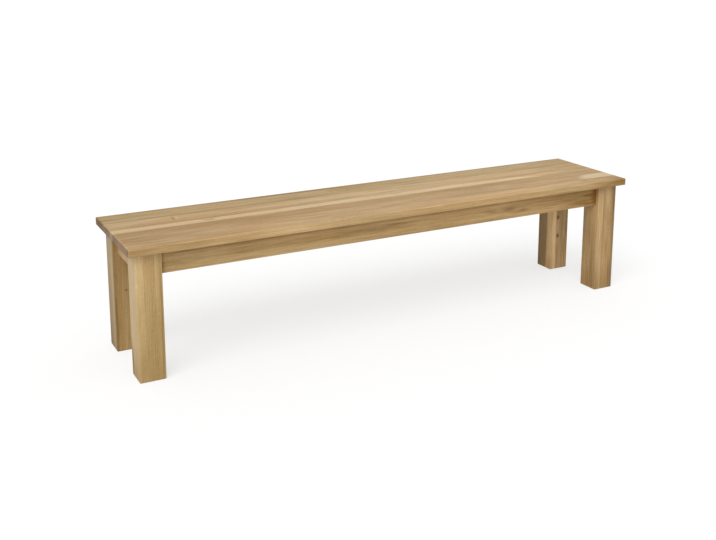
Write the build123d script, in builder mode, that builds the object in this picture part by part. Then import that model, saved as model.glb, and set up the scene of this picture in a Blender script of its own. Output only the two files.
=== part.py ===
from build123d import *
import os

# A long oak bench: a glued-up seat on four square legs, with rails tenoned into the legs.
# The origin is on the floor under the middle of the seat. X runs along the seat, Y to the
# back and Z up. All sizes are in millimetres.

# Seat: five full-length boards glued edge to edge. The second takes up what the others leave.
seat_length = 2000.0
seat_width = 420.0
seat_height = 455.0
seat_thickness = 26.0
seat_corner_radius = 4.0
seat_edge_radius = 3.0
back_board_width = 107.0
middle_board_width = 60.5
fourth_board_width = 63.0
front_board_width = 66.0

# Legs: three boards glued face to face, which shows as upright strips on the front
leg_side = 87.0
end_overhang = 26.0
side_overhang = 25.0
leg_edge_radius = 3.0
foot_chamfer = 2.0
leg_outer_board = 26.0
leg_inner_board = 26.0

# Rails between the legs, set back from the outer faces of the legs
rail_height = 79.0
rail_thickness = 22.0
rail_recess = 17.0
rail_edge_radius = 1.5
tenon_length = 30.0
tenon_thickness = 10.0
tenon_top_shoulder = 14.0
tenon_bottom_shoulder = 10.0
mortise_end_gap = 1.0
mortise_cheek_gap = 0.1

# Centre rail across the middle of the frame, with a stub tenon at each end
centre_rail_height = 60.0
centre_rail_thickness = 22.0
stub_length = 10.0
stub_thickness = 10.0
stub_shoulder = 8.0
stub_end_gap = 0.5
centre_screw_margin = 50.0
centre_screw_bore_depth = 30.0
centre_screw_bore_gap = 1.0

# Buttons: small blocks that hold the seat down and let its width change with the seasons
buttons_per_half = 2
button_length = 44.0
button_depth = 30.0
button_thickness = 20.0
button_gap = 1.0
tongue_length = 10.0
tongue_thickness = 9.0
slot_end_gap = 1.0
slot_side_gap = 2.0
slot_bottom_gap = 0.5

# Countersunk wood screws
screw_diameter = 4.0
screw_head_diameter = 8.0
screw_grip = 14.0
screw_tip = 4.0
screw_gap = 0.15
pilot_end_gap = 1.0
recess_length = 4.4
recess_width = 1.0
recess_depth = 1.6
countersink_angle = 90
face_down = (180, 0, 0)

# How far a cut starts outside the wood
overrun = 5.0

# Heights that the sizes above give
seat_bottom = seat_height - seat_thickness
rail_bottom = seat_bottom - rail_height
tenon_bottom = rail_bottom + tenon_bottom_shoulder
tenon_height = rail_height - tenon_bottom_shoulder - tenon_top_shoulder
button_bottom = seat_bottom - button_thickness
slot_bottom = button_bottom - slot_bottom_gap
slot_height = tongue_thickness + slot_bottom_gap
centre_rail_bottom = seat_bottom - centre_rail_height
stub_bottom = centre_rail_bottom + stub_shoulder
stub_height = centre_rail_height - 2 * stub_shoulder
centre_screw_head = centre_rail_bottom + centre_screw_bore_depth

# Distances from the middle of the bench
leg_outer_x = seat_length / 2 - end_overhang
leg_outer_y = seat_width / 2 - side_overhang
leg_inner_x = leg_outer_x - leg_side
leg_inner_y = leg_outer_y - leg_side
leg_middle_x = leg_outer_x - leg_side / 2
leg_middle_y = leg_outer_y - leg_side / 2
long_rail_y = leg_outer_y - rail_recess - rail_thickness / 2
end_rail_x = leg_outer_x - rail_recess - rail_thickness / 2
long_rail_inner_y = long_rail_y - rail_thickness / 2
end_rail_inner_x = end_rail_x - rail_thickness / 2

# Screws and their places under the seat
shank_radius = screw_diameter / 2
head_radius = screw_head_diameter / 2
head_height = head_radius - shank_radius
button_screw_reach = button_gap + button_depth / 2
button_pitch = leg_inner_x / buttons_per_half
right_button_xs = [button_pitch * (i + 1 / 2) for i in range(buttons_per_half)]
button_xs = sorted([-x for x in right_button_xs] + right_button_xs)
long_screw_y = long_rail_inner_y - button_screw_reach
end_screw_x = end_rail_inner_x - button_screw_reach
long_screw_points = [(x, side * long_screw_y) for side in (-1, 1) for x in button_xs]
end_screw_points = [(side * end_screw_x, 0) for side in (-1, 1)]
button_screw_points = long_screw_points + end_screw_points
centre_screw_y = long_rail_inner_y - centre_screw_margin
centre_screw_points = [(0, -centre_screw_y), (0, centre_screw_y)]

os.makedirs("parts", exist_ok=True)


def save(piece, label):
    piece.label = label
    export_step(piece, f"parts/{label}.step")


def sawn(blank, low_cut, high_cut):
    # The slice of a glued-up blank that lies between two planes that face the same way
    with BuildPart() as board:
        add(blank)
        split(bisect_by=low_cut, keep=Keep.TOP)
        split(bisect_by=high_cut, keep=Keep.BOTTOM)
    return board.part


# Seat slab, rounded all round, with blind pilot holes for the screws from below
with BuildPart() as slab:
    with BuildSketch(Plane.XY.offset(seat_bottom)):
        RectangleRounded(seat_length, seat_width, seat_corner_radius)
    extrude(amount=seat_thickness)
    rims = slab.faces().filter_by(Axis.Z).edges()
    fillet(rims, seat_edge_radius)
    with BuildSketch(Plane.XY.offset(seat_bottom)):
        with Locations(*button_screw_points, *centre_screw_points):
            Circle(shank_radius + screw_gap)
    extrude(amount=screw_grip + pilot_end_gap, mode=Mode.SUBTRACT)

# Seat boards, sawn from the slab at the glue lines, from the back to the front
board_names = [
    "seat_board_1_back",
    "seat_board_2_pale_edge",
    "seat_board_3_middle",
    "seat_board_4",
    "seat_board_5_front",
]
back_edge = seat_width / 2
front_glue_line = front_board_width - back_edge
fourth_glue_line = front_glue_line + fourth_board_width
seat_cuts = [
    back_edge + overrun,
    back_edge - back_board_width,
    fourth_glue_line + middle_board_width,
    fourth_glue_line,
    front_glue_line,
    -back_edge - overrun,
]
for label, back_cut, front_cut in zip(board_names, seat_cuts, seat_cuts[1:]):
    front_plane = Plane.ZX.offset(front_cut)
    back_plane = Plane.ZX.offset(back_cut)
    save(sawn(slab.part, front_plane, back_plane), label)


def leg_blank(side_x, side_y):
    # One whole leg with its two mortises. side_x and side_y say which corner it stands at.
    mortise_reach = tenon_length + mortise_end_gap + overrun
    mortise_width = tenon_thickness + 2 * mortise_cheek_gap
    mortise_bottom = tenon_bottom - mortise_cheek_gap
    mortise_height = tenon_height + 2 * mortise_cheek_gap
    long_mortise_x = leg_inner_x + mortise_reach / 2 - overrun
    end_mortise_y = leg_inner_y + mortise_reach / 2 - overrun
    with BuildPart() as blank:
        with BuildSketch():
            with Locations((side_x * leg_middle_x, side_y * leg_middle_y)):
                RectangleRounded(leg_side, leg_side, leg_edge_radius)
        extrude(amount=seat_bottom)
        chamfer(blank.faces().sort_by(Axis.Z)[0].edges(), foot_chamfer)
        with BuildSketch(Plane.XY.offset(mortise_bottom)):
            with Locations((side_x * long_mortise_x, side_y * long_rail_y)):
                Rectangle(mortise_reach, mortise_width)
            with Locations((side_x * end_rail_x, side_y * end_mortise_y)):
                Rectangle(mortise_width, mortise_reach)
        extrude(amount=mortise_height, mode=Mode.SUBTRACT)
    return blank.part


# Legs, each sawn into its three glued boards from the end of the bench inwards
leg_cuts = [
    leg_outer_x + overrun,
    leg_outer_x - leg_outer_board,
    leg_inner_x + leg_inner_board,
    leg_inner_x - overrun,
]
for leg, side_x, side_y in (
    ("leg_front_left", -1, -1),
    ("leg_front_right", 1, -1),
    ("leg_back_left", -1, 1),
    ("leg_back_right", 1, 1),
):
    blank = leg_blank(side_x, side_y)
    for board, outer_cut, inner_cut in zip(("outer", "core", "inner"), leg_cuts, leg_cuts[1:]):
        low_cut, high_cut = sorted((side_x * inner_cut, side_x * outer_cut))
        low_plane = Plane.YZ.offset(low_cut)
        high_plane = Plane.YZ.offset(high_cut)
        save(sawn(blank, low_plane, high_plane), f"{leg}_{board}_board")


def long_rail(side_y):
    # Front or back rail: slots for the buttons and a mortise for the centre rail inside
    slot_depth = tongue_length - button_gap + slot_end_gap + overrun
    slot_y = long_rail_inner_y + slot_depth / 2 - overrun
    stub_depth = stub_length + stub_end_gap + overrun
    stub_y = long_rail_inner_y + stub_depth / 2 - overrun
    with BuildPart() as rail:
        with BuildSketch(Plane.XY.offset(rail_bottom)):
            with Locations((0, side_y * long_rail_y)):
                Rectangle(2 * leg_inner_x, rail_thickness)
        extrude(amount=rail_height)
        fillet(rail.faces().sort_by(Axis.Z)[0].edges().filter_by(Axis.X), rail_edge_radius)
        with BuildSketch(Plane.XY.offset(tenon_bottom)):
            with Locations((0, side_y * long_rail_y)):
                Rectangle(2 * (leg_inner_x + tenon_length), tenon_thickness)
        extrude(amount=tenon_height)
        with BuildSketch(Plane.XY.offset(slot_bottom)):
            with Locations(*[(x, side_y * slot_y) for x in button_xs]):
                Rectangle(button_length + 2 * slot_side_gap, slot_depth)
        extrude(amount=slot_height, mode=Mode.SUBTRACT)
        with BuildSketch(Plane.XY.offset(stub_bottom - mortise_cheek_gap)):
            with Locations((0, side_y * stub_y)):
                Rectangle(stub_thickness + 2 * mortise_cheek_gap, stub_depth)
        extrude(amount=stub_height + 2 * mortise_cheek_gap, mode=Mode.SUBTRACT)
    return rail.part


def end_rail(side_x):
    # Left or right rail, with one slot for a button inside
    slot_depth = tongue_length - button_gap + slot_end_gap + overrun
    slot_x = end_rail_inner_x + slot_depth / 2 - overrun
    with BuildPart() as rail:
        with BuildSketch(Plane.XY.offset(rail_bottom)):
            with Locations((side_x * end_rail_x, 0)):
                Rectangle(rail_thickness, 2 * leg_inner_y)
        extrude(amount=rail_height)
        fillet(rail.faces().sort_by(Axis.Z)[0].edges().filter_by(Axis.Y), rail_edge_radius)
        with BuildSketch(Plane.XY.offset(tenon_bottom)):
            with Locations((side_x * end_rail_x, 0)):
                Rectangle(tenon_thickness, 2 * (leg_inner_y + tenon_length))
        extrude(amount=tenon_height)
        with BuildSketch(Plane.XY.offset(slot_bottom)):
            with Locations((side_x * slot_x, 0)):
                Rectangle(slot_depth, button_length + 2 * slot_side_gap)
        extrude(amount=slot_height, mode=Mode.SUBTRACT)
    return rail.part


save(long_rail(-1), "front_rail")
save(long_rail(1), "back_rail")
save(end_rail(-1), "left_rail")
save(end_rail(1), "right_rail")

# Centre rail, with its screws sunk deep in its lower edge
with BuildPart() as centre_rail:
    with BuildSketch(Plane.XY.offset(centre_rail_bottom)):
        Rectangle(centre_rail_thickness, 2 * long_rail_inner_y)
    extrude(amount=centre_rail_height)
    fillet(centre_rail.faces().sort_by(Axis.Z)[0].edges().filter_by(Axis.Y), rail_edge_radius)
    with BuildSketch(Plane.XY.offset(stub_bottom)):
        Rectangle(stub_thickness, 2 * (long_rail_inner_y + stub_length))
    extrude(amount=stub_height)
    with BuildSketch(Plane.XY.offset(centre_rail_bottom)):
        with Locations(*centre_screw_points):
            Circle(head_radius + centre_screw_bore_gap)
    extrude(amount=centre_screw_bore_depth, mode=Mode.SUBTRACT)
    sinks = [Location((x, y, centre_screw_head), face_down) for x, y in centre_screw_points]
    with Locations(*sinks):
        CounterSinkHole(
            shank_radius + screw_gap,
            head_radius + screw_gap,
            counter_sink_angle=countersink_angle,
        )
save(centre_rail.part, "centre_rail")


def button(origin, inward, along, screw_point):
    # A rebated block. Its tongue sits in the rail's slot and its body lies against the seat.
    # origin is on the rail's inner face under the seat, and inward points away from the rail.
    with BuildPart() as block:
        with BuildSketch(Plane(origin=origin, x_dir=inward, z_dir=along)):
            with Locations((button_gap, 0)):
                Rectangle(button_depth, button_thickness, align=(Align.MIN, Align.MAX))
            with Locations((button_gap, -button_thickness)):
                Rectangle(tongue_length, tongue_thickness, align=(Align.MAX, Align.MIN))
        extrude(amount=button_length / 2, both=True)
        with Locations(Location((*screw_point, button_bottom), face_down)):
            CounterSinkHole(
                shank_radius + screw_gap,
                head_radius + screw_gap,
                counter_sink_angle=countersink_angle,
            )
    return block.part


# Buttons along the front and back rails, numbered from the left, and one at each end
for name, side_y in (("front", -1), ("back", 1)):
    inward, along = (0, -side_y, 0), (-side_y, 0, 0)
    for number, x in enumerate(button_xs, start=1):
        origin = (x, side_y * long_rail_inner_y, seat_bottom)
        block = button(origin, inward, along, (x, side_y * long_screw_y))
        save(block, f"{name}_button_{number}")
for name, side_x in (("left", -1), ("right", 1)):
    inward, along = (-side_x, 0, 0), (0, side_x, 0)
    origin = (side_x * end_rail_inner_x, 0, seat_bottom)
    save(button(origin, inward, along, (side_x * end_screw_x, 0)), f"{name}_button")


def screws(points, head_bottom):
    # A set of like screws, heads down at one height, each with a cross recess in its head
    screw_length = seat_bottom - head_bottom + screw_grip
    with BuildPart() as one:
        with BuildSketch(Plane.XZ):
            with BuildLine():
                Polyline(
                    (0, 0),
                    (head_radius, 0),
                    (shank_radius, head_height),
                    (shank_radius, screw_length - screw_tip),
                    (0, screw_length),
                    close=True,
                )
            make_face()
        revolve(axis=Axis.Z)
        with BuildSketch():
            Rectangle(recess_length, recess_width)
            Rectangle(recess_width, recess_length)
        extrude(amount=recess_depth, mode=Mode.SUBTRACT)
    with BuildPart() as group:
        with Locations(*[(x, y, head_bottom) for x, y in points]):
            add(one.part)
    return group.part


save(screws(button_screw_points, button_bottom), "button_screws")
save(screws(centre_screw_points, centre_screw_head), "centre_rail_screws")
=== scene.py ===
import math

import bpy
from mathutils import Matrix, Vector


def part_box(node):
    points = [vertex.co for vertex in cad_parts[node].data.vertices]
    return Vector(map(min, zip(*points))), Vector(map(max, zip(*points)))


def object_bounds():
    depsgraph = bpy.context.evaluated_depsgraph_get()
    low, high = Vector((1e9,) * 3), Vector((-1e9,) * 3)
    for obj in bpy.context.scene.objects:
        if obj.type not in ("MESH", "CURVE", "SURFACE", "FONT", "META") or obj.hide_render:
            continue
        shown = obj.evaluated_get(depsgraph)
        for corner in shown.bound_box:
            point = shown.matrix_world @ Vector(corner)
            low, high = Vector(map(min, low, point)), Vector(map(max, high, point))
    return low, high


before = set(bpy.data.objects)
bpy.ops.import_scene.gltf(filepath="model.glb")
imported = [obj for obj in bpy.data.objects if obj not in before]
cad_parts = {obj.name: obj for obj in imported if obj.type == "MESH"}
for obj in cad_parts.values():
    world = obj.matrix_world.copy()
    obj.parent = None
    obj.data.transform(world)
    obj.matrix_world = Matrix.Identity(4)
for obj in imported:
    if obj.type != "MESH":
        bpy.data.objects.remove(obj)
cad_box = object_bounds()

# The look of a long oak bench, in metres: X along the seat, Y to the back, Z up

MM = 0.001
X, Y, Z = 0, 1, 2
WHITE = (1, 1, 1, 1)


def srgb(red, green, blue):
    """A colour as it shows on the screen, 0 to 255, as the linear colour that a socket takes."""
    shown = [value / 255 for value in (red, green, blue)]
    linear = [s / 12.92 if s <= 0.04045 else ((s + 0.055) / 1.055) ** 2.4 for s in shown]
    return (*linear, 1.0)


class Graph:
    """Adds shader nodes to a new material or world and links them."""

    def __init__(self, owner):
        owner.use_nodes = True
        self.owner, self.tree = owner, owner.node_tree
        self.shader = self.tree.nodes.get("Principled BSDF")

    def set(self, socket, value):
        if isinstance(value, bpy.types.NodeSocket):
            self.tree.links.new(value, socket)
        elif value is not None:
            socket.default_value = value

    def node(self, kind, *values, **settings):
        made = self.tree.nodes.new("ShaderNode" + kind)
        for key, value in settings.items():
            setattr(made, key, value)
        for socket, value in zip(made.inputs, values):
            self.set(socket, value)
        return made

    def math(self, operation, *values):
        return self.node("Math", *values, operation=operation).outputs[0]

    def add(self, a, b):
        return self.math("ADD", a, b)

    def minus(self, a, b):
        return self.math("SUBTRACT", a, b)

    def times(self, a, b, plus=None):
        """a times b, with plus added where it is given."""
        if plus is None:
            return self.math("MULTIPLY", a, b)
        return self.math("MULTIPLY_ADD", a, b, plus)

    def size(self, a):
        """a without its sign."""
        return self.math("ABSOLUTE", a)

    def most(self, a, b):
        return self.math("MAXIMUM", a, b)

    def hold(self, value, low, high):
        """value, kept between low and high."""
        return self.math("MINIMUM", self.most(value, low), high)

    def vector(self, operation, *values):
        return self.node("VectorMath", *values, operation=operation)

    def split(self, vector):
        return list(self.node("SeparateXYZ", vector).outputs)

    def join(self, a, b, c):
        return self.node("CombineXYZ", a, b, c).outputs[0]

    def ramp(self, value, start, end, low=0.0, high=1.0):
        """Goes smoothly from low to high as value goes from start to end, and is held outside."""
        settings = {"interpolation_type": "SMOOTHSTEP"}
        return self.node("MapRange", value, start, end, low, high, **settings).outputs[0]

    def drift(self, along, per_metre, reach, seed):
        """A slow change along one direction, from about -reach to reach."""
        made = self.node("TexNoise", noise_dimensions="1D")
        self.set(made.inputs["W"], self.times(along, per_metre, seed))
        made.inputs["Scale"].default_value = 1.0
        made.inputs["Detail"].default_value = 1.0
        return self.times(made.outputs[0], 2 * reach, -reach)

    def noise(self, vector, grains, detail=1.0):
        """Noise from 0 to 1, with so many grains per metre in each direction."""
        made = self.node("TexNoise", self.vector("MULTIPLY", vector, grains).outputs[0])
        made.inputs["Scale"].default_value = 1.0
        made.inputs["Detail"].default_value = detail
        return made.outputs[0]

    def blend(self, share, low, high):
        """low where share is 0 and high where it is 1, and past them outside that range."""
        mix = self.node("Mix", data_type="RGBA", clamp_factor=False)
        self.set(mix.inputs[0], share)
        self.set(mix.inputs[6], low)
        self.set(mix.inputs[7], high)
        return mix.outputs[2]

    def shade(self, colour, amount):
        """colour times a grey or another colour."""
        mix = self.node("Mix", data_type="RGBA", blend_type="MULTIPLY")
        mix.inputs[0].default_value = 1.0
        self.set(mix.inputs[6], colour)
        self.set(mix.inputs[7], amount)
        return mix.outputs[2]

    def spot(self, place, centre, reach):
        """1 in the middle of a soft oval, and 0 outside it."""
        moved = self.vector("SUBTRACT", place, centre).outputs[0]
        scaled = self.vector("MULTIPLY", moved, tuple(1 / size for size in reach)).outputs[0]
        return self.ramp(self.vector("LENGTH", scaled).outputs["Value"], 1.0, 0.0)

    def seen(self):
        """1 for what the camera sees, straight or in a gloss or a pane, and 0 for light on the bench."""
        rays = self.node("LightPath").outputs
        straight = self.most(rays["Is Camera Ray"], rays["Is Glossy Ray"])
        return self.most(straight, rays["Is Transmission Ray"])


# Oak tones, as they show in plain light
TAN = srgb(184, 151, 105)
PEACH = srgb(188, 158, 115)
ROSE = srgb(185, 153, 111)
OLIVE = srgb(172, 146, 103)
HONEY = srgb(194, 160, 109)
WHEAT = srgb(190, 157, 112)
GOLD = srgb(183, 151, 101)
BROWN = srgb(172, 140, 96)
UMBER = srgb(152, 124, 83)
GREY_BROWN = srgb(156, 133, 94)
STRAW = srgb(197, 165, 113)
PALE = srgb(204, 171, 118)
LINEN = srgb(200, 173, 131)
SAP = srgb(213, 186, 145)
IVORY = srgb(213, 189, 151)
# Sapwood paler than lit oak: painted light on the back right leg's front, which stays in the seat's shade
CREAM_WITH_PAINTED_LIGHT = srgb(230, 193, 140)

# A board's lighter and darker shade, as shares of its tone, and how far past them its mix may go
LIGHTER = (1.17, 1.20, 1.26, 1)
DARKER = (0.83, 0.79, 0.72, 1)
PALEST, DARKEST = -0.8, 2.0

# Slow changes of hue along a board, and its end grain, as shares of its colour
WARM = (1.02, 0.985, 0.95, 1)
COOL = (0.985, 1.01, 1.03, 1)
END_GRAIN = (0.57, 0.57, 0.70, 1)

# Patterns in the wood, in grains per metre along a board, across it and through it
CLOUD = (1.1, 7, 7)
HUE = (2.2, 9, 9)
FLAME = (1.7, 32, 32)
RIPPLE = (4, 30, 30)
FLECK = (9, 190, 190)
FIBRE = (22, 900, 900)
PORE = (120, 2100, 2100)

# Rays, in grains per metre along a board, per radian round its heart and per metre out from it
RAY = (48, 120, 30)
RAY_DASH, RAY_FLECK = -0.16, 0.12

# Noise at which a pattern starts to turn from its one side to its other, and has turned
HUE_TURNS = (0.35, 0.65)
FIBRE_TURNS = (0.25, 0.75)
PORE_OPENS = (0.60, 0.70)
RAY_SHOWS = (0.65, 0.73)

# How much the surface faces along the board, its own flattest way, or square to the rays
END_FACING = (0.45, 0.8)
ARRIS_FACING = (0.96, 0.82)
RAY_FACING = (0.3, 0.9)

# Growth rings: their width, how far they wave, and how far and how often their spacing changes
RING_WIDTH = 2.4 * MM
RING_WAVE = 3.0 * MM
RING_UNEVEN, UNEVEN_PER_METRE = 1.6 * MM, 55

# The heart of the tree: how far and how often it bends, and how much the rings open along it
HEART_BEND, BENDS_ACROSS, BENDS_THROUGH = 4 * MM, 1.3, 1.7
HEART_OPENS = 0.008

# Early wood: where in a ring it ends, and where that of the next ring begins
EARLY_ENDS, EARLY_BEGINS = 0.55, 0.88

# How much early wood it takes for more pores to show and for all, and the share that late wood shows
PORE_IN_EARLY, LATE_PORES = (0.15, 0.8), 0.12

# Broad bands and narrow lines of tone, in changes per ring
RING_BANDS, RING_LINES = 0.16, 0.6

# How much each pattern adds to a board's mix of its lighter and its darker shade
BAND_ADDS, LINE_ADDS = 0.5, 0.9
FLAME_ADDS, FLECK_ADDS, CLOUD_ADDS = 2.0, 2.2, 0.9
MIDDLE_MIX = 0.45

# The grain of a board's other tone, and the mix that it gives
PALE_GRAIN, PALE_MIX = (0.7, 1.3), (0.35, 0.68)

# How far a mark's outline sways aside
SWAY = 6 * MM

# How much the finest detail lightens or darkens, as shares of the colour
LATE_SHADE, EARLY_ADDS = 1.055, -0.14
FIBRE_SHADES = (0.94, 1.06)
PORE_ADDS = -0.40
# Rounded edges paler: partly rubbed wear, partly a painted highlight
ARRIS_WEAR_AND_HIGHLIGHT = 0.06
GLUE_LINE, GLUE_SHADE = 0.35 * MM, 0.72

# Knots: how far the wood round one is disturbed, in sizes of the knot, and how far it moves the rings
KNOT_SPREAD = 4
KNOT_PUSH = 6 * MM
KNOT_RAGGED = 0.08

# A knot's halo, body and heart: tone, how near the middle it starts and is full, and strength
KNOT_LAYERS = (
    (srgb(134, 97, 58), 0.35, 0.95, 0.60),
    (srgb(114, 79, 39), 0.84, 0.91, 1.0),
    (srgb(128, 89, 50), 0.96, 1.01, 0.7),
)

# Gloss and relief of planed oak
SPECULAR = 0.16
ROUGHNESS = 0.50
PORE_ROUGHER, FIBRE_ROUGHER, END_ROUGHER, ARRIS_ROUGHER = 0.20, 0.12, 0.15, -0.08
PORE_HEIGHT, FIBRE_HEIGHT, EARLY_HEIGHT = -1.0, 0.35, -0.25
RELIEF, RELIEF_STRENGTH = 0.12 * MM, 0.6


class Oak:
    """One oak board: where the heart of its tree lies, its tone, and its marks.

    grain is the axes along the board, across its face and through its thickness. heart is the place
    of the heart of the tree, across and through, from the board's middle.
    """

    def __init__(self, grain, heart, seed, tone=TAN, contrast=1.0):
        self.grain, self.heart, self.seed = grain, heart, seed
        self.tone, self.contrast = tone, contrast
        self.streaks, self.knots, self.glued = [], [], []
        self.pale, self.pale_tone = None, SAP

    def streak(self, centre, reach, strength):
        """A soft long patch, darker where strength is over zero and paler under it; some are tone in the
        wood, others painted shade and painted light.
        """
        self.streaks.append((centre, reach, strength))

    def knot(self, centre, size):
        self.knots.append((centre, size))

    def locate(self, g, node):
        """The board's own directions, from its middle, and a wood space that no other board shares."""
        low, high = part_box(node)
        middle = (low + high) / 2
        self.place = g.node("TexCoord").outputs["Object"]
        self.position = g.split(self.place)
        own = [g.minus(self.position[axis], middle[axis]) for axis in self.grain]
        self.along, self.across, self.depth = own
        self.wood = g.join(*[g.add(value, self.seed * turn) for turn, value in enumerate(own, 1)])
        normal = g.split(g.node("NewGeometry").outputs["Normal"])
        self.facing = [normal[axis] for axis in self.grain]
        self.ripple = g.noise(self.wood, RIPPLE, detail=2.0)
        sway = g.times(self.ripple, 2 * SWAY, -SWAY)
        aside = g.join(*[0.0 if axis == self.grain[0] else sway for axis in (X, Y, Z)])
        self.swayed = g.vector("ADD", self.place, aside).outputs[0]

    def mark_knots(self, g):
        """How near a point is to a knot, from 0 to 1, and how far the knots push the rings aside."""
        near, push = None, None
        for centre, size in self.knots:
            around = g.spot(self.place, centre, [KNOT_SPREAD * reach for reach in size])
            near = around if near is None else g.most(near, around)
            push = g.times(around, KNOT_PUSH, push)
        return near, push

    def lay_rings(self, g, push):
        """Growth rings round the heart, which bends along the board."""
        bend = g.drift(self.along, BENDS_ACROSS, HEART_BEND, self.seed)
        sag = g.drift(self.along, BENDS_THROUGH, HEART_BEND, self.seed + 5)
        self.side = g.add(g.add(self.across, -self.heart[0]), bend)
        self.lift = g.add(g.add(self.depth, -self.heart[1]), sag)
        radius = g.math("SQRT", g.add(g.times(self.side, self.side), g.times(self.lift, self.lift)))
        radius = g.times(self.ripple, RING_WAVE, radius)
        radius = g.times(self.along, HEART_OPENS, radius)
        if push is not None:
            radius = g.add(radius, push)
        uneven = g.drift(radius, UNEVEN_PER_METRE, RING_UNEVEN, self.seed + 9)
        self.radius = g.add(radius, uneven)
        self.rings = g.times(self.radius, 1 / RING_WIDTH)
        phase = g.math("FRACT", self.rings)
        self.early = g.most(g.ramp(phase, 0.0, EARLY_ENDS, 1.0, 0.0), g.ramp(phase, EARLY_BEGINS, 1.0))

    def find_detail(self, g):
        """Fibres and open pores, and where the surface is end grain or a rounded edge."""
        self.fibre = g.noise(self.wood, FIBRE, detail=2.0)
        pore = g.ramp(g.noise(self.wood, PORE, detail=0.0), *PORE_OPENS)
        self.pore = g.times(pore, g.ramp(self.early, *PORE_IN_EARLY, LATE_PORES, 1.0))
        self.end = g.ramp(g.size(self.facing[0]), *END_FACING)
        flattest = g.most(*[g.size(value) for value in self.facing[1:]])
        self.arris = g.ramp(g.most(flattest, self.end), *ARRIS_FACING)

    def cut_rays(self, g):
        """Thin sheets that run out from the heart: pale flecks where they lie flat, dark dashes across."""
        turn = g.math("ARCTAN2", self.side, self.lift)
        sheet = g.ramp(g.noise(g.join(self.along, turn, self.radius), RAY), *RAY_SHOWS)
        out = g.minus(g.times(self.facing[1], self.lift), g.times(self.facing[2], self.side))
        flat = g.size(g.math("DIVIDE", out, g.most(self.radius, MM)))
        return g.times(g.ramp(flat, *RAY_FACING, RAY_DASH, RAY_FLECK), sheet, 1.0)

    def shades(self, g, tone, mix):
        """One tone, from its lighter shade where mix is 0 to its darker one where mix is 1."""
        ends = [tuple(a * b for a, b in zip(tone, share)) for share in (LIGHTER, DARKER)]
        return g.blend(g.hold(mix, PALEST, DARKEST), *ends)

    def tint(self, g):
        """The board's colour: bands of rings, flames along the board, and the listed marks."""
        band = g.drift(self.rings, RING_BANDS, 0.5, self.seed + 2)
        line = g.drift(self.rings, RING_LINES, 0.5, self.seed + 4)
        flame = g.noise(self.wood, FLAME, detail=3.0)
        fleck = g.noise(self.wood, FLECK, detail=2.0)
        cloud = g.noise(self.wood, CLOUD)
        mix = g.times(band, BAND_ADDS, g.times(line, LINE_ADDS))
        for pattern, adds in ((flame, FLAME_ADDS), (fleck, FLECK_ADDS), (cloud, CLOUD_ADDS)):
            mix = g.times(g.add(pattern, -0.5), adds, mix)
        mix = g.hold(g.times(mix, self.contrast, MIDDLE_MIX), 0.0, 1.0)
        # The streaks: tone in the wood, and in places painted shade and painted light
        marks = 0.0
        for centre, reach, strength in self.streaks:
            marks = g.times(g.spot(self.swayed, centre, reach), strength, marks)
        colour = self.shades(g, self.tone, g.add(mix, marks))
        hue = g.ramp(g.noise(self.wood, HUE), *HUE_TURNS)
        colour = g.shade(colour, g.blend(hue, WARM, COOL))
        if self.pale is not None:
            grain = g.ramp(g.add(flame, fleck), *PALE_GRAIN, *PALE_MIX)
            pale = self.shades(g, self.pale_tone, g.add(grain, marks))
            colour = g.blend(self.pale(g, self), colour, pale)
        return colour

    def fine_shade(self, g):
        """How much rings, fibres, rays, pores, rounded edges and glue lines shade the colour; the paler
        edges are rubbed wear and a painted highlight.
        """
        shade = g.times(self.early, EARLY_ADDS, LATE_SHADE)
        shade = g.times(shade, g.ramp(self.fibre, *FIBRE_TURNS, *FIBRE_SHADES))
        shade = g.times(shade, self.cut_rays(g))
        shade = g.times(shade, g.times(self.pore, PORE_ADDS, 1.0))
        shade = g.times(shade, g.times(self.arris, ARRIS_WEAR_AND_HIGHLIGHT, 1.0))
        for axis, plane in self.glued:
            away = g.size(g.add(self.position[axis], -plane))
            shade = g.times(shade, g.ramp(away, 0.5 * GLUE_LINE, GLUE_LINE, GLUE_SHADE, 1.0))
        return shade

    def draw_knots(self, g, near, colour):
        """The layers of every knot, each with a ragged edge."""
        rough = g.add(self.ripple, self.fibre)
        near = g.times(rough, KNOT_RAGGED, g.add(near, -KNOT_RAGGED))
        for tone, start, full, strength in KNOT_LAYERS:
            colour = g.blend(g.ramp(near, start, full, 0.0, strength), colour, tone)
        return colour

    def polish(self, g):
        """Gloss and relief: dull open pores and end grain, and smooth rubbed edges."""
        inputs = g.shader.inputs
        inputs["Specular IOR Level"].default_value = SPECULAR
        rough = g.times(self.pore, PORE_ROUGHER, ROUGHNESS)
        rough = g.times(self.fibre, FIBRE_ROUGHER, rough)
        rough = g.times(self.arris, ARRIS_ROUGHER, rough)
        g.set(inputs["Roughness"], g.times(self.end, END_ROUGHER, rough))
        height = g.times(self.pore, PORE_HEIGHT, g.times(self.fibre, FIBRE_HEIGHT))
        bump = g.node("Bump")
        bump.inputs["Strength"].default_value = RELIEF_STRENGTH
        bump.inputs["Distance"].default_value = RELIEF
        g.set(bump.inputs["Height"], g.times(self.early, EARLY_HEIGHT, height))
        g.set(inputs["Normal"], bump.outputs[0])

    def paint(self, name, node):
        """The board's material, for the CAD node that it dresses."""
        g = Graph(bpy.data.materials.new(name))
        self.locate(g, node)
        near_knot, push = self.mark_knots(g)
        self.lay_rings(g, push)
        self.find_detail(g)
        colour = g.shade(self.tint(g), self.fine_shade(g))
        colour = g.shade(colour, g.blend(self.end, WHITE, END_GRAIN))
        if near_knot is not None:
            colour = self.draw_knots(g, near_knot, colour)
        g.set(g.shader.inputs["Base Color"], colour)
        self.polish(g)
        return g.owner


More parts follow.
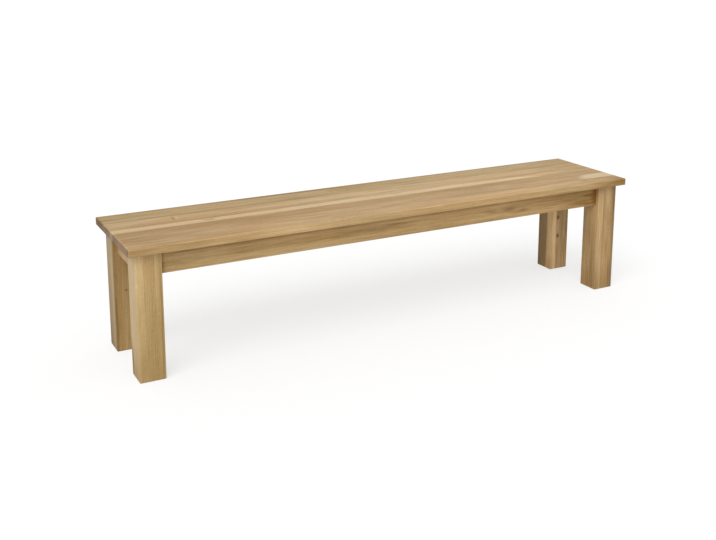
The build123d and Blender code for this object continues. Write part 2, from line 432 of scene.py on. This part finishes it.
def dress(node, material):
    """Gives a CAD node one material over its whole surface."""
    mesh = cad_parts[node].data
    mesh.materials.clear()
    mesh.materials.append(material)
    for face in mesh.polygons:
        face.material_index = 0


def glue(looks, axis):
    """Tells each board of a glued row where it meets its neighbours."""
    rows = sorted(looks, key=lambda node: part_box(node)[0][axis])
    for first, second in zip(rows, rows[1:]):
        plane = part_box(second)[0][axis]
        for node in (first, second):
            looks[node].glued.append((axis, plane))


# The grain of each kind of board: the axes along it, across its face and through it
SEAT, LEG, LONG_RAIL, END_RAIL = (X, Y, Z), (Z, Y, X), (X, Z, Y), (Y, Z, X)
LONG_BUTTON, END_BUTTON = (Y, X, Z), (X, Y, Z)

SEAT_LEFT, SEAT_FRONT = cad_box[0].x, cad_box[0].y
SEAT_BACK, SEAT_TOP = cad_box[1].y, cad_box[1].z

# How deep a mark goes in from the face that shows it; the last is more than any board's thickness
MARK_DEPTH = 25 * MM
SKIN_DEPTH = 10 * MM
WHOLE_THICKNESS = 0.2

# How deep under a face its own tone begins, at the rounded edge, and how deep it is still full
FACE_STARTS, FACE_FULL = 3 * MM, 0.5 * MM


def on_top(board, *marks):
    """Streaks on the seat: place along it, place from its back edge, half length, half width, strength."""
    for x, from_back, half_length, half_width, strength in marks:
        centre = (x, SEAT_BACK - from_back, SEAT_TOP)
        board.streak(centre, (half_length, half_width, MARK_DEPTH), strength)


def on_edge(board, *marks):
    """Streaks on the seat's front edge: place along it, height, half length, half height, strength."""
    for x, height, half_length, half_height, strength in marks:
        board.streak((x, SEAT_FRONT, height), (half_length, SKIN_DEPTH, half_height), strength)


def on_left_end(board, from_back, half_width, strength):
    """A streak on the end grain at the seat's left end."""
    centre = (SEAT_LEFT, SEAT_BACK - from_back, SEAT_TOP)
    board.streak(centre, (SKIN_DEPTH, half_width, WHOLE_THICKNESS), strength)


def second_tone(*edges, share=1.0, wavy=True):
    """Where a board shows its other tone.

    An edge is an axis, where along it the tone starts and where it is full.
    """
    def shown(g, board):
        position = g.split(board.swayed) if wavy else board.position
        part = share
        for axis, start, full in edges:
            part = g.times(part, g.ramp(position[axis], start, full))
        return part
    return shown


def face_tone(axis, face, *edges, share=1.0):
    """The other tone on one outer face of a board and no deeper than its rounded edge."""
    skin = (axis, face + FACE_STARTS, face + FACE_FULL)
    return second_tone(skin, *edges, share=share, wavy=False)


# Sapwood: the line in Y that it reaches, and heartwood that cuts into it: place, half length, depth
SAP_LINE, SAP_WAVE, SAP_GRAINS = 11 * MM, 10 * MM, (7, 1, 1)
SAP_CUTS = ((-0.664, 0.040, 21 * MM), (0.075, 0.050, 9 * MM))

# Sapwood: where it starts to narrow and how fast, how soft its edge is, and how strong at each end
SAP_NARROWS, SAP_SLOPE = 0.60, 0.22
SAP_EDGE = (-2.0 * MM, 4.0 * MM)
SAP_SPAN, SAP_STRENGTHS = (-1.0, 0.6), (0.72, 1.0)


def pale_edge(g, board):
    """Sapwood along the front edge of the second board, which runs out before the right end."""
    x, y, _ = g.split(board.swayed)
    line = g.times(g.noise(board.wood, SAP_GRAINS, detail=2.0), SAP_WAVE, SAP_LINE)
    line = g.minus(line, g.times(g.most(g.add(x, -SAP_NARROWS), 0.0), SAP_SLOPE))
    for place, half_length, depth in SAP_CUTS:
        line = g.add(line, g.ramp(g.size(g.add(x, -place)), 0.0, half_length, -depth, 0.0))
    inside = g.ramp(g.minus(line, y), *SAP_EDGE)
    return g.times(inside, g.ramp(x, *SAP_SPAN, *SAP_STRENGTHS))


# The pale patch: where it starts in X at one Y, how its start slants and how ragged and soft it is
PATCH_START, PATCH_Y = 0.825, -0.112
PATCH_SLANT, PATCH_RAGGED, PATCH_GRAINS = 0.7, 0.05, (2, 40, 40)
PATCH_EDGE, PATCH_STRENGTH = (-0.02, 0.03), 0.9


def pale_end(g, board):
    """A pale patch at the right end of the fourth board, with a slanting start."""
    x, y, _ = g.split(board.swayed)
    start = g.times(g.add(y, -PATCH_Y), PATCH_SLANT, PATCH_START)
    start = g.times(g.noise(board.wood, PATCH_GRAINS), PATCH_RAGGED, start)
    return g.times(g.ramp(g.minus(x, start), *PATCH_EDGE), PATCH_STRENGTH)


def seat_looks():
    back = Oak(SEAT, (90 * MM, -70 * MM), 3.1, tone=OLIVE, contrast=1.4)
    on_top(
        back,
        (-0.45, 0.088, 0.60, 0.016, 0.20),
        (0.00, 0.006, 1.60, 0.022, 0.80),
        (-0.85, 0.074, 0.14, 0.024, -0.50),
        (-0.20, 0.060, 0.24, 0.018, -0.35),
        (0.15, 0.045, 0.22, 0.024, -0.35),
        (0.85, 0.074, 0.12, 0.024, -0.40),
    )
    on_left_end(back, 0.06, 0.10, 0.70)

    second = Oak(SEAT, (-100 * MM, -60 * MM), 7.7, tone=PEACH, contrast=0.9)
    second.pale = pale_edge
    on_top(
        second,
        (-1.00, 0.150, 0.50, 0.060, 0.20),
        (-0.60, 0.184, 0.85, 0.014, 0.75),
        (-0.30, 0.147, 0.85, 0.020, -0.45),
        (-0.28, 0.152, 0.55, 0.014, -0.35),
        (-0.769, 0.136, 0.005, 0.034, 1.60),
        (-0.757, 0.134, 0.008, 0.030, -0.50),
        (0.30, 0.155, 0.60, 0.020, -0.25),
        (0.74, 0.205, 0.26, 0.032, -0.50),
        (0.98, 0.170, 0.22, 0.080, 0.40),
    )
    on_left_end(second, 0.15, 0.06, 0.55)

    middle = Oak(SEAT, (70 * MM, 60 * MM), 11.3, tone=BROWN)
    on_top(
        middle,
        (-0.65, 0.258, 0.55, 0.026, 0.40),
        (-0.95, 0.232, 0.26, 0.014, -0.45),
        (0.06, 0.234, 0.20, 0.014, -0.40),
        (0.00, 0.274, 0.16, 0.010, 0.35),
        (0.40, 0.250, 0.26, 0.026, 0.20),
        (0.15, 0.275, 0.60, 0.060, -0.40),
        (0.75, 0.260, 0.45, 0.050, -0.65),
    )
    on_left_end(middle, 0.26, 0.05, -0.40)

    fourth = Oak(SEAT, (-80 * MM, -80 * MM), 17.9, tone=ROSE)
    fourth.pale = pale_end
    fourth.pale_tone = IVORY
    on_top(
        fourth,
        (-1.00, 0.320, 0.80, 0.060, 0.50),
        (0.86, 0.348, 0.05, 0.008, 0.60),
        (0.05, 0.330, 0.70, 0.050, 0.30),
    )
    on_left_end(fourth, 0.32, 0.05, -0.50)

    front = Oak(SEAT, (95 * MM, -60 * MM), 23.5, tone=WHEAT, contrast=0.9)
    # The front face paler than the top: painted light on that face
    front.pale = face_tone(Y, SEAT_FRONT, share=0.5)
    front.pale_tone = PALE
    on_top(
        front,
        (-1.00, 0.380, 0.90, 0.060, 0.40),
        (0.00, 0.385, 0.55, 0.050, 0.25),
        (0.60, 0.390, 0.35, 0.040, -0.20),
        (0.83, 0.370, 0.022, 0.012, 0.90),
        (0.94, 0.366, 0.14, 0.016, 0.90),
        (0.99, 0.400, 0.10, 0.040, 0.90),
    )
    on_edge(
        front,
        (-1.00, 0.442, 0.12, 0.040, 0.35),
        (-0.42, 0.440, 0.28, 0.016, -0.70),
        (-0.48, 0.445, 0.32, 0.008, -0.35),
        (-0.72, 0.432, 0.13, 0.008, -0.70),
        (0.97, 0.442, 0.17, 0.040, 1.00),
        # Dark streaks along the lower rounded edge at the right: painted shade under the seat's front edge
        (0.66, 0.431, 0.35, 0.008, 0.80),
        (0.86, 0.431, 0.09, 0.008, 0.70),
        (0.86, 0.455, 0.09, 0.008, 0.60),
    )
    on_left_end(front, 0.39, 0.05, -0.30)
    return {
        "seat_board_1_back": back,
        "seat_board_2_pale_edge": second,
        "seat_board_3_middle": middle,
        "seat_board_4": fourth,
        "seat_board_5_front": front,
    }


LEG_BOARDS = ("outer", "core", "inner")

# Each leg's tree, and each board's place in it: the first value and its step, in mm for the hearts
LEG_SEED, SEED_PER_LEG, SEED_PER_BOARD = 31.0, 7.3, 2.1
HEART_ASIDE, ASIDE_PER_LEG = 60, 11
HEART_BEHIND, BEHIND_PER_BOARD = 40, 9


class Leg:
    """The looks of one leg's three boards, and marks on its front and its left side."""

    def __init__(self, number, corner, tones, contrast):
        self.nodes = {board: f"leg_{corner}_{board}_board" for board in LEG_BOARDS}
        self.looks = {}
        for turn, (node, tone) in enumerate(zip(self.nodes.values(), tones)):
            side = 1 if turn % 2 else -1
            aside = side * (HEART_ASIDE + ASIDE_PER_LEG * number) * MM
            behind = (HEART_BEHIND + BEHIND_PER_BOARD * turn) * MM
            seed = LEG_SEED + SEED_PER_LEG * number + SEED_PER_BOARD * turn
            self.looks[node] = Oak(LEG, (aside, behind), seed, tone, contrast)
        glue(self.looks, X)
        boxes = [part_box(node) for node in self.looks]
        self.left = min(low.x for low, _ in boxes)
        self.front = min(low.y for low, _ in boxes)
        self.back = max(high.y for _, high in boxes)

    def board(self, name):
        return self.looks[self.nodes[name]]

    def on_front(self, name, *marks):
        """Streaks on the front: place from the left edge, height, half width, half height, strength."""
        for across, height, half_width, half_height, strength in marks:
            centre = (self.left + across, self.front, height)
            self.board(name).streak(centre, (half_width, MARK_DEPTH, half_height), strength)

    def on_left(self, name, *marks):
        """Streaks on the left side.

        Each has its place from the front edge, height, half width, half height and strength.
        """
        for across, height, half_width, half_height, strength in marks:
            centre = (self.left, self.front + across, height)
            self.board(name).streak(centre, (MARK_DEPTH, half_width, half_height), strength)

    def knot(self, name, across, height, size):
        """A knot in the front: place from the left edge, height, and half sizes in X, Y and Z."""
        self.board(name).knot((self.left + across, self.front, height), size)


# On the legs, paler streaks high up, near the seat, are painted light, and darker streaks at the feet are
# painted shade; the rest are tone and figure in the wood.
def mark_front_left(leg):
    outer = leg.board("outer")
    outer.pale = face_tone(X, leg.left)
    outer.pale_tone = LINEN
    leg.on_front("outer", (0.013, 0.43, 0.022, 0.30, -0.75), (0.018, 0.05, 0.018, 0.12, 0.65))
    leg.on_left(
        "outer",
        (0.04, 0.43, 0.10, 0.22, -0.30),
        (0.04, 0.00, 0.12, 0.15, 0.80),
        (0.08, 0.06, 0.03, 0.09, 1.20),
    )
    for board in ("core", "inner"):
        leg.on_front(board, (0.045, 0.00, 0.12, 0.30, 0.50), (0.045, 0.43, 0.12, 0.15, -0.30))
    leg.on_front("inner", (0.080, 0.22, 0.006, 0.45, 0.60), (0.063, 0.40, 0.009, 0.22, -0.55))


def mark_front_right(leg):
    inner = leg.board("inner")
    upper, rearward = (Z, 0.12, 0.28), (Y, leg.back - 45 * MM, leg.back - 5 * MM)
    inner.pale = face_tone(X, leg.left, upper, rearward)
    inner.pale_tone = OLIVE
    leg.on_front(
        "inner",
        (0.014, 0.25, 0.009, 0.10, -0.70),
        (0.020, 0.09, 0.010, 0.08, -0.30),
        (0.010, 0.36, 0.035, 0.20, -0.70),
        (0.008, 0.17, 0.022, 0.16, -0.70),
        (0.024, 0.28, 0.008, 0.07, -0.40),
    )
    leg.on_left(
        "inner",
        (0.045, 0.34, 0.100, 0.13, -0.80),
        (0.045, 0.00, 0.120, 0.13, 0.80),
        (0.015, 0.30, 0.018, 0.22, -0.50),
        (0.030, 0.12, 0.010, 0.10, 0.50),
        (0.078, 0.14, 0.016, 0.20, 0.60),
    )
    leg.on_front(
        "core",
        (0.044, 0.26, 0.007, 0.08, -0.20),
        (0.048, 0.37, 0.014, 0.05, -0.40),
        (0.033, 0.28, 0.006, 0.06, -0.30),
        (0.038, 0.38, 0.012, 0.06, 0.20),
        (0.044, 0.42, 0.030, 0.14, -0.80),
        (0.048, 0.17, 0.016, 0.08, 0.80),
        (0.044, 0.00, 0.080, 0.13, 0.80),
    )
    outer = leg.board("outer")
    rightward = (X, leg.left + 66 * MM, leg.left + 78 * MM)
    forward = (Y, leg.front + 14 * MM, leg.front + 3 * MM)
    outer.pale = second_tone(rightward, forward, share=0.85)
    outer.pale_tone = GREY_BROWN
    leg.on_front(
        "outer",
        (0.065, 0.00, 0.080, 0.13, 0.50),
        (0.068, 0.06, 0.014, 0.09, 0.60),
        (0.081, 0.36, 0.012, 0.14, 0.60),
    )


def mark_back_left(leg):
    outer = leg.board("outer")
    outer.pale = face_tone(X, leg.left)
    outer.pale_tone = GREY_BROWN
    leg.on_left(
        "outer",
        (0.06, 0.40, 0.12, 0.26, -0.80),
        (0.08, 0.00, 0.06, 0.14, 0.90),
        (0.02, 0.22, 0.03, 0.32, -1.10),
        (0.082, 0.12, 0.014, 0.40, 0.50),
    )
    leg.on_front("outer", (0.003, 0.20, 0.010, 0.60, 1.10))
    leg.on_front("core", (0.045, 0.33, 0.020, 0.11, 0.25), (0.045, 0.05, 0.010, 0.07, 0.40))
    leg.knot("core", 0.040, 0.217, (2.2 * MM, 3.0 * MM, 3.0 * MM))


def mark_back_right(leg):
    inner = leg.board("inner")
    # The inner board's sapwood and its paler streaks on the front are sapwood with painted light, on a
    # face that stays in the seat's shade.
    inner.pale = second_tone((Y, leg.front + 36 * MM, leg.front + 22 * MM))
    inner.pale_tone = CREAM_WITH_PAINTED_LIGHT
    leg.on_front("inner", (0.016, 0.20, 0.012, 0.60, -0.70), (0.012, 0.17, 0.024, 0.12, -0.75))
    leg.on_left("inner", (0.012, 0.02, 0.024, 0.06, 0.70), (0.068, 0.12, 0.018, 0.12, -0.40))
    leg.on_front(
        "core",
        (0.043, 0.20, 0.020, 0.60, -0.50),
        (0.033, 0.18, 0.014, 0.12, -0.90),
        (0.037, 0.25, 0.014, 0.04, 0.70),
    )
    leg.on_front(
        "outer",
        (0.071, 0.20, 0.007, 0.60, 0.50),
        (0.081, 0.20, 0.009, 0.60, 0.80),
        (0.065, 0.10, 0.009, 0.07, 0.60),
    )
    for across, height in ((0.033, 0.228), (0.035, 0.146)):
        leg.knot("core", across, height, (4.6 * MM, 6.0 * MM, 6.8 * MM))


# Each leg: the tones of its outer, core and inner board, their contrast, and its marks
LEGS = {
    "front_left": ((PALE, STRAW, STRAW), 0.45, mark_front_left),
    "front_right": ((TAN, TAN, TAN), 0.9, mark_front_right),
    "back_left": ((GOLD, GOLD, GOLD), 0.6, mark_back_left),
    "back_right": ((PALE, WHEAT, UMBER), 0.9, mark_back_right),
}


def leg_looks():
    looks = {}
    for number, (corner, (tones, contrast, mark)) in enumerate(LEGS.items()):
        leg = Leg(number, corner, tones, contrast)
        mark(leg)
        looks.update(leg.looks)
    return looks


# Streaks on the front rail's face: place along it, height, half length, half height, strength
# Most paler ones high on the face paint light into the seat's shade; the rest are figure in the wood.
# The dark ones along the top edge, just under the seat, are a painted shadow of the seat's overhang, and
# the dark ones at both ends, beside the legs, are painted shade.
RAIL_MARKS = (
    # Painted shadow of the seat's overhang, along the top edge
    (-0.72, 0.4125, 0.45, 0.006, 0.95),
    (0.10, 0.4140, 1.00, 0.007, 0.55),
    (-0.70, 0.395, 0.45, 0.018, -0.10),
    (-0.40, 0.402, 0.24, 0.026, -0.50),
    (0.00, 0.404, 0.45, 0.012, -0.45),
    (0.34, 0.384, 0.32, 0.024, -0.55),
    (0.33, 0.365, 0.32, 0.010, -0.60),
    (0.47, 0.379, 0.14, 0.008, 0.50),
    (0.57, 0.392, 0.22, 0.008, -0.40),
    (0.05, 0.378, 0.08, 0.009, -0.55),
    (-0.85, 0.372, 0.16, 0.026, 0.30),
    # Painted shade at both ends, beside the legs
    (-0.885, 0.390, 0.016, 0.090, 1.00),
    (0.885, 0.390, 0.035, 0.090, 1.20),
    (-0.70, 0.382, 0.26, 0.005, 0.60),
    (-0.17, 0.390, 0.09, 0.005, 0.30),
    (0.00, 0.396, 0.10, 0.005, 0.70),
    (0.385, 0.386, 0.05, 0.010, 0.90),
    (0.460, 0.388, 0.06, 0.010, 1.10),
    (0.530, 0.379, 0.04, 0.010, 0.90),
    (0.10, 0.389, 0.16, 0.008, -0.40),
    (0.40, 0.402, 0.13, 0.011, -0.80),
    # Painted shadow of the seat's overhang, along the top edge to the right
    (0.60, 0.415, 0.18, 0.013, 0.80),
    (0.70, 0.405, 0.12, 0.012, 0.40),
    (0.70, 0.379, 0.10, 0.012, 0.30),
    (0.79, 0.367, 0.12, 0.013, 0.55),
    # Painted shade at the right end beside the leg, and painted shadow of the seat along the top edge
    (0.88, 0.390, 0.26, 0.080, 0.90),
    (0.79, 0.416, 0.14, 0.014, 0.90),
    (0.845, 0.394, 0.04, 0.010, 0.60),
    (0.845, 0.361, 0.04, 0.010, 0.60),
)


def rail_looks():
    front = Oak(LONG_RAIL, (120 * MM, 60 * MM), 61.0, tone=HONEY, contrast=1.1)
    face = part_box("front_rail")[0].y
    for x, height, half_length, half_height, strength in RAIL_MARKS:
        front.streak((x, face, height), (half_length, MARK_DEPTH, half_height), strength)
    return {
        "front_rail": front,
        "back_rail": Oak(LONG_RAIL, (-110 * MM, -70 * MM), 64.0, tone=HONEY, contrast=1.1),
        "left_rail": Oak(END_RAIL, (90 * MM, 75 * MM), 67.0, tone=PEACH),
        "right_rail": Oak(END_RAIL, (-90 * MM, 80 * MM), 71.0, tone=HONEY),
        "centre_rail": Oak(END_RAIL, (80 * MM, 60 * MM), 74.0),
    }


# Buttons: the heart of their wood, and the first seed and its steps
LONG_BUTTON_HEART, END_BUTTON_HEART = (20 * MM, 40 * MM), (15 * MM, 45 * MM)
BUTTON_SEED, SEED_PER_BUTTON, SEED_PER_SIDE = 81.0, 3.7, 2.3
END_BUTTON_SEED, SEED_PER_END = 97.0, 2


def button_looks():
    looks = {}
    for turn, side in enumerate(("front", "back")):
        for number in range(1, 5):
            seed = BUTTON_SEED + SEED_PER_BUTTON * number + SEED_PER_SIDE * turn
            looks[f"{side}_button_{number}"] = Oak(LONG_BUTTON, LONG_BUTTON_HEART, seed)
    for turn, side in enumerate(("left", "right")):
        seed = END_BUTTON_SEED + SEED_PER_END * turn
        looks[f"{side}_button"] = Oak(END_BUTTON, END_BUTTON_HEART, seed)
    return looks


seat = seat_looks()
glue(seat, Y)
for looks in (seat, leg_looks(), rail_looks(), button_looks()):
    for node, look in looks.items():
        dress(node, look.paint(f"oak_{node}", node))

# Screws: zinc-plated steel, a little tarnished, with fine turning marks
ZINC, TARNISHED = srgb(196, 194, 186), srgb(150, 146, 132)
TURNING_GRAINS, TARNISH_GRAINS = (900, 900, 6000), (160, 160, 160)
TURNING_TURNS, TURNING_ROUGHNESS = (0.3, 0.7), (0.28, 0.45)


def screw_look():
    g = Graph(bpy.data.materials.new("zinc_steel"))
    place = g.node("TexCoord").outputs["Object"]
    turned = g.noise(place, TURNING_GRAINS, detail=2.0)
    tarnish = g.noise(place, TARNISH_GRAINS, detail=3.0)
    g.set(g.shader.inputs["Base Color"], g.blend(tarnish, ZINC, TARNISHED))
    g.set(g.shader.inputs["Roughness"], g.ramp(turned, *TURNING_TURNS, *TURNING_ROUGHNESS))
    g.shader.inputs["Metallic"].default_value = 1.0
    return g.owner


steel = screw_look()
for node in ("button_screws", "centre_rail_screws"):
    dress(node, steel)

# Floor: pale and plain. The camera sees the white of the backdrop there, under the bench's shadow.
FLOOR_HALF = 40.0
FLOOR_BOUNCE, FLOOR_SEEN = (0.65, 0.65, 0.65, 1), (0.36, 0.36, 0.36, 1)
FLOOR_LIFT, FLOOR_ROUGHNESS = 0.66, 0.9


def floor_look():
    g = Graph(bpy.data.materials.new("floor"))
    seen = g.seen()
    g.set(g.shader.inputs["Base Color"], g.blend(seen, FLOOR_BOUNCE, FLOOR_SEEN))
    g.shader.inputs["Roughness"].default_value = FLOOR_ROUGHNESS
    g.shader.inputs["Specular IOR Level"].default_value = 0.0
    g.shader.inputs["Emission Color"].default_value = WHITE
    g.set(g.shader.inputs["Emission Strength"], g.times(seen, FLOOR_LIFT))
    return g.owner


mesh = bpy.data.meshes.new("floor")
corners = [(-1, -1), (1, -1), (1, 1), (-1, 1)]
mesh.from_pydata([(FLOOR_HALF * x, FLOOR_HALF * y, 0.0) for x, y in corners], [], [(0, 1, 2, 3)])
mesh.materials.append(floor_look())
floor = bpy.data.objects.new("floor", mesh)
bpy.context.scene.collection.objects.link(floor)

# World: white to the camera and in reflections, softer as light
SKY_LIGHT = 0.62
g = Graph(bpy.data.worlds.new("studio"))
background = g.tree.nodes["Background"]
background.inputs["Color"].default_value = WHITE
g.set(background.inputs["Strength"], g.ramp(g.seen(), 0.0, 1.0, SKY_LIGHT, 1.0))
bpy.context.scene.world = g.owner

# Key light: a wide soft lamp from the upper left front, far enough away to light the floor evenly
KEY_FROM = (-0.50, -0.43, 0.755)
KEY_STRENGTH, KEY_ANGLE = 1.57, math.radians(45)
sun = bpy.data.lights.new("key", "SUN")
sun.energy, sun.angle = KEY_STRENGTH, KEY_ANGLE
key = bpy.data.objects.new("key", sun)
key.rotation_euler = (-Vector(KEY_FROM)).to_track_quat("-Z", "Y").to_euler()
bpy.context.scene.collection.objects.link(key)

# Camera at the photograph's viewpoint, found from the bench's straight edges
PHOTO_WIDTH = 716
LENS_PIXELS = 988.15
SHIFT_PIXELS = -129.5
SENSOR_WIDTH = 36.0
CAMERA_PLACE = (-1.7216, -3.0989, 1.3858)
CAMERA_DOWN, CAMERA_TURN = 0.20038, 0.4836
lens = bpy.data.cameras.new("camera")
lens.sensor_width = SENSOR_WIDTH
lens.lens = LENS_PIXELS / PHOTO_WIDTH * SENSOR_WIDTH
lens.shift_y = SHIFT_PIXELS / PHOTO_WIDTH
camera = bpy.data.objects.new("camera", lens)
camera.location = CAMERA_PLACE
camera.rotation_euler = (math.pi / 2 - CAMERA_DOWN, 0, -CAMERA_TURN)
bpy.context.scene.collection.objects.link(camera)
bpy.context.scene.camera = camera
bpy.context.scene.view_settings.view_transform = "Standard"
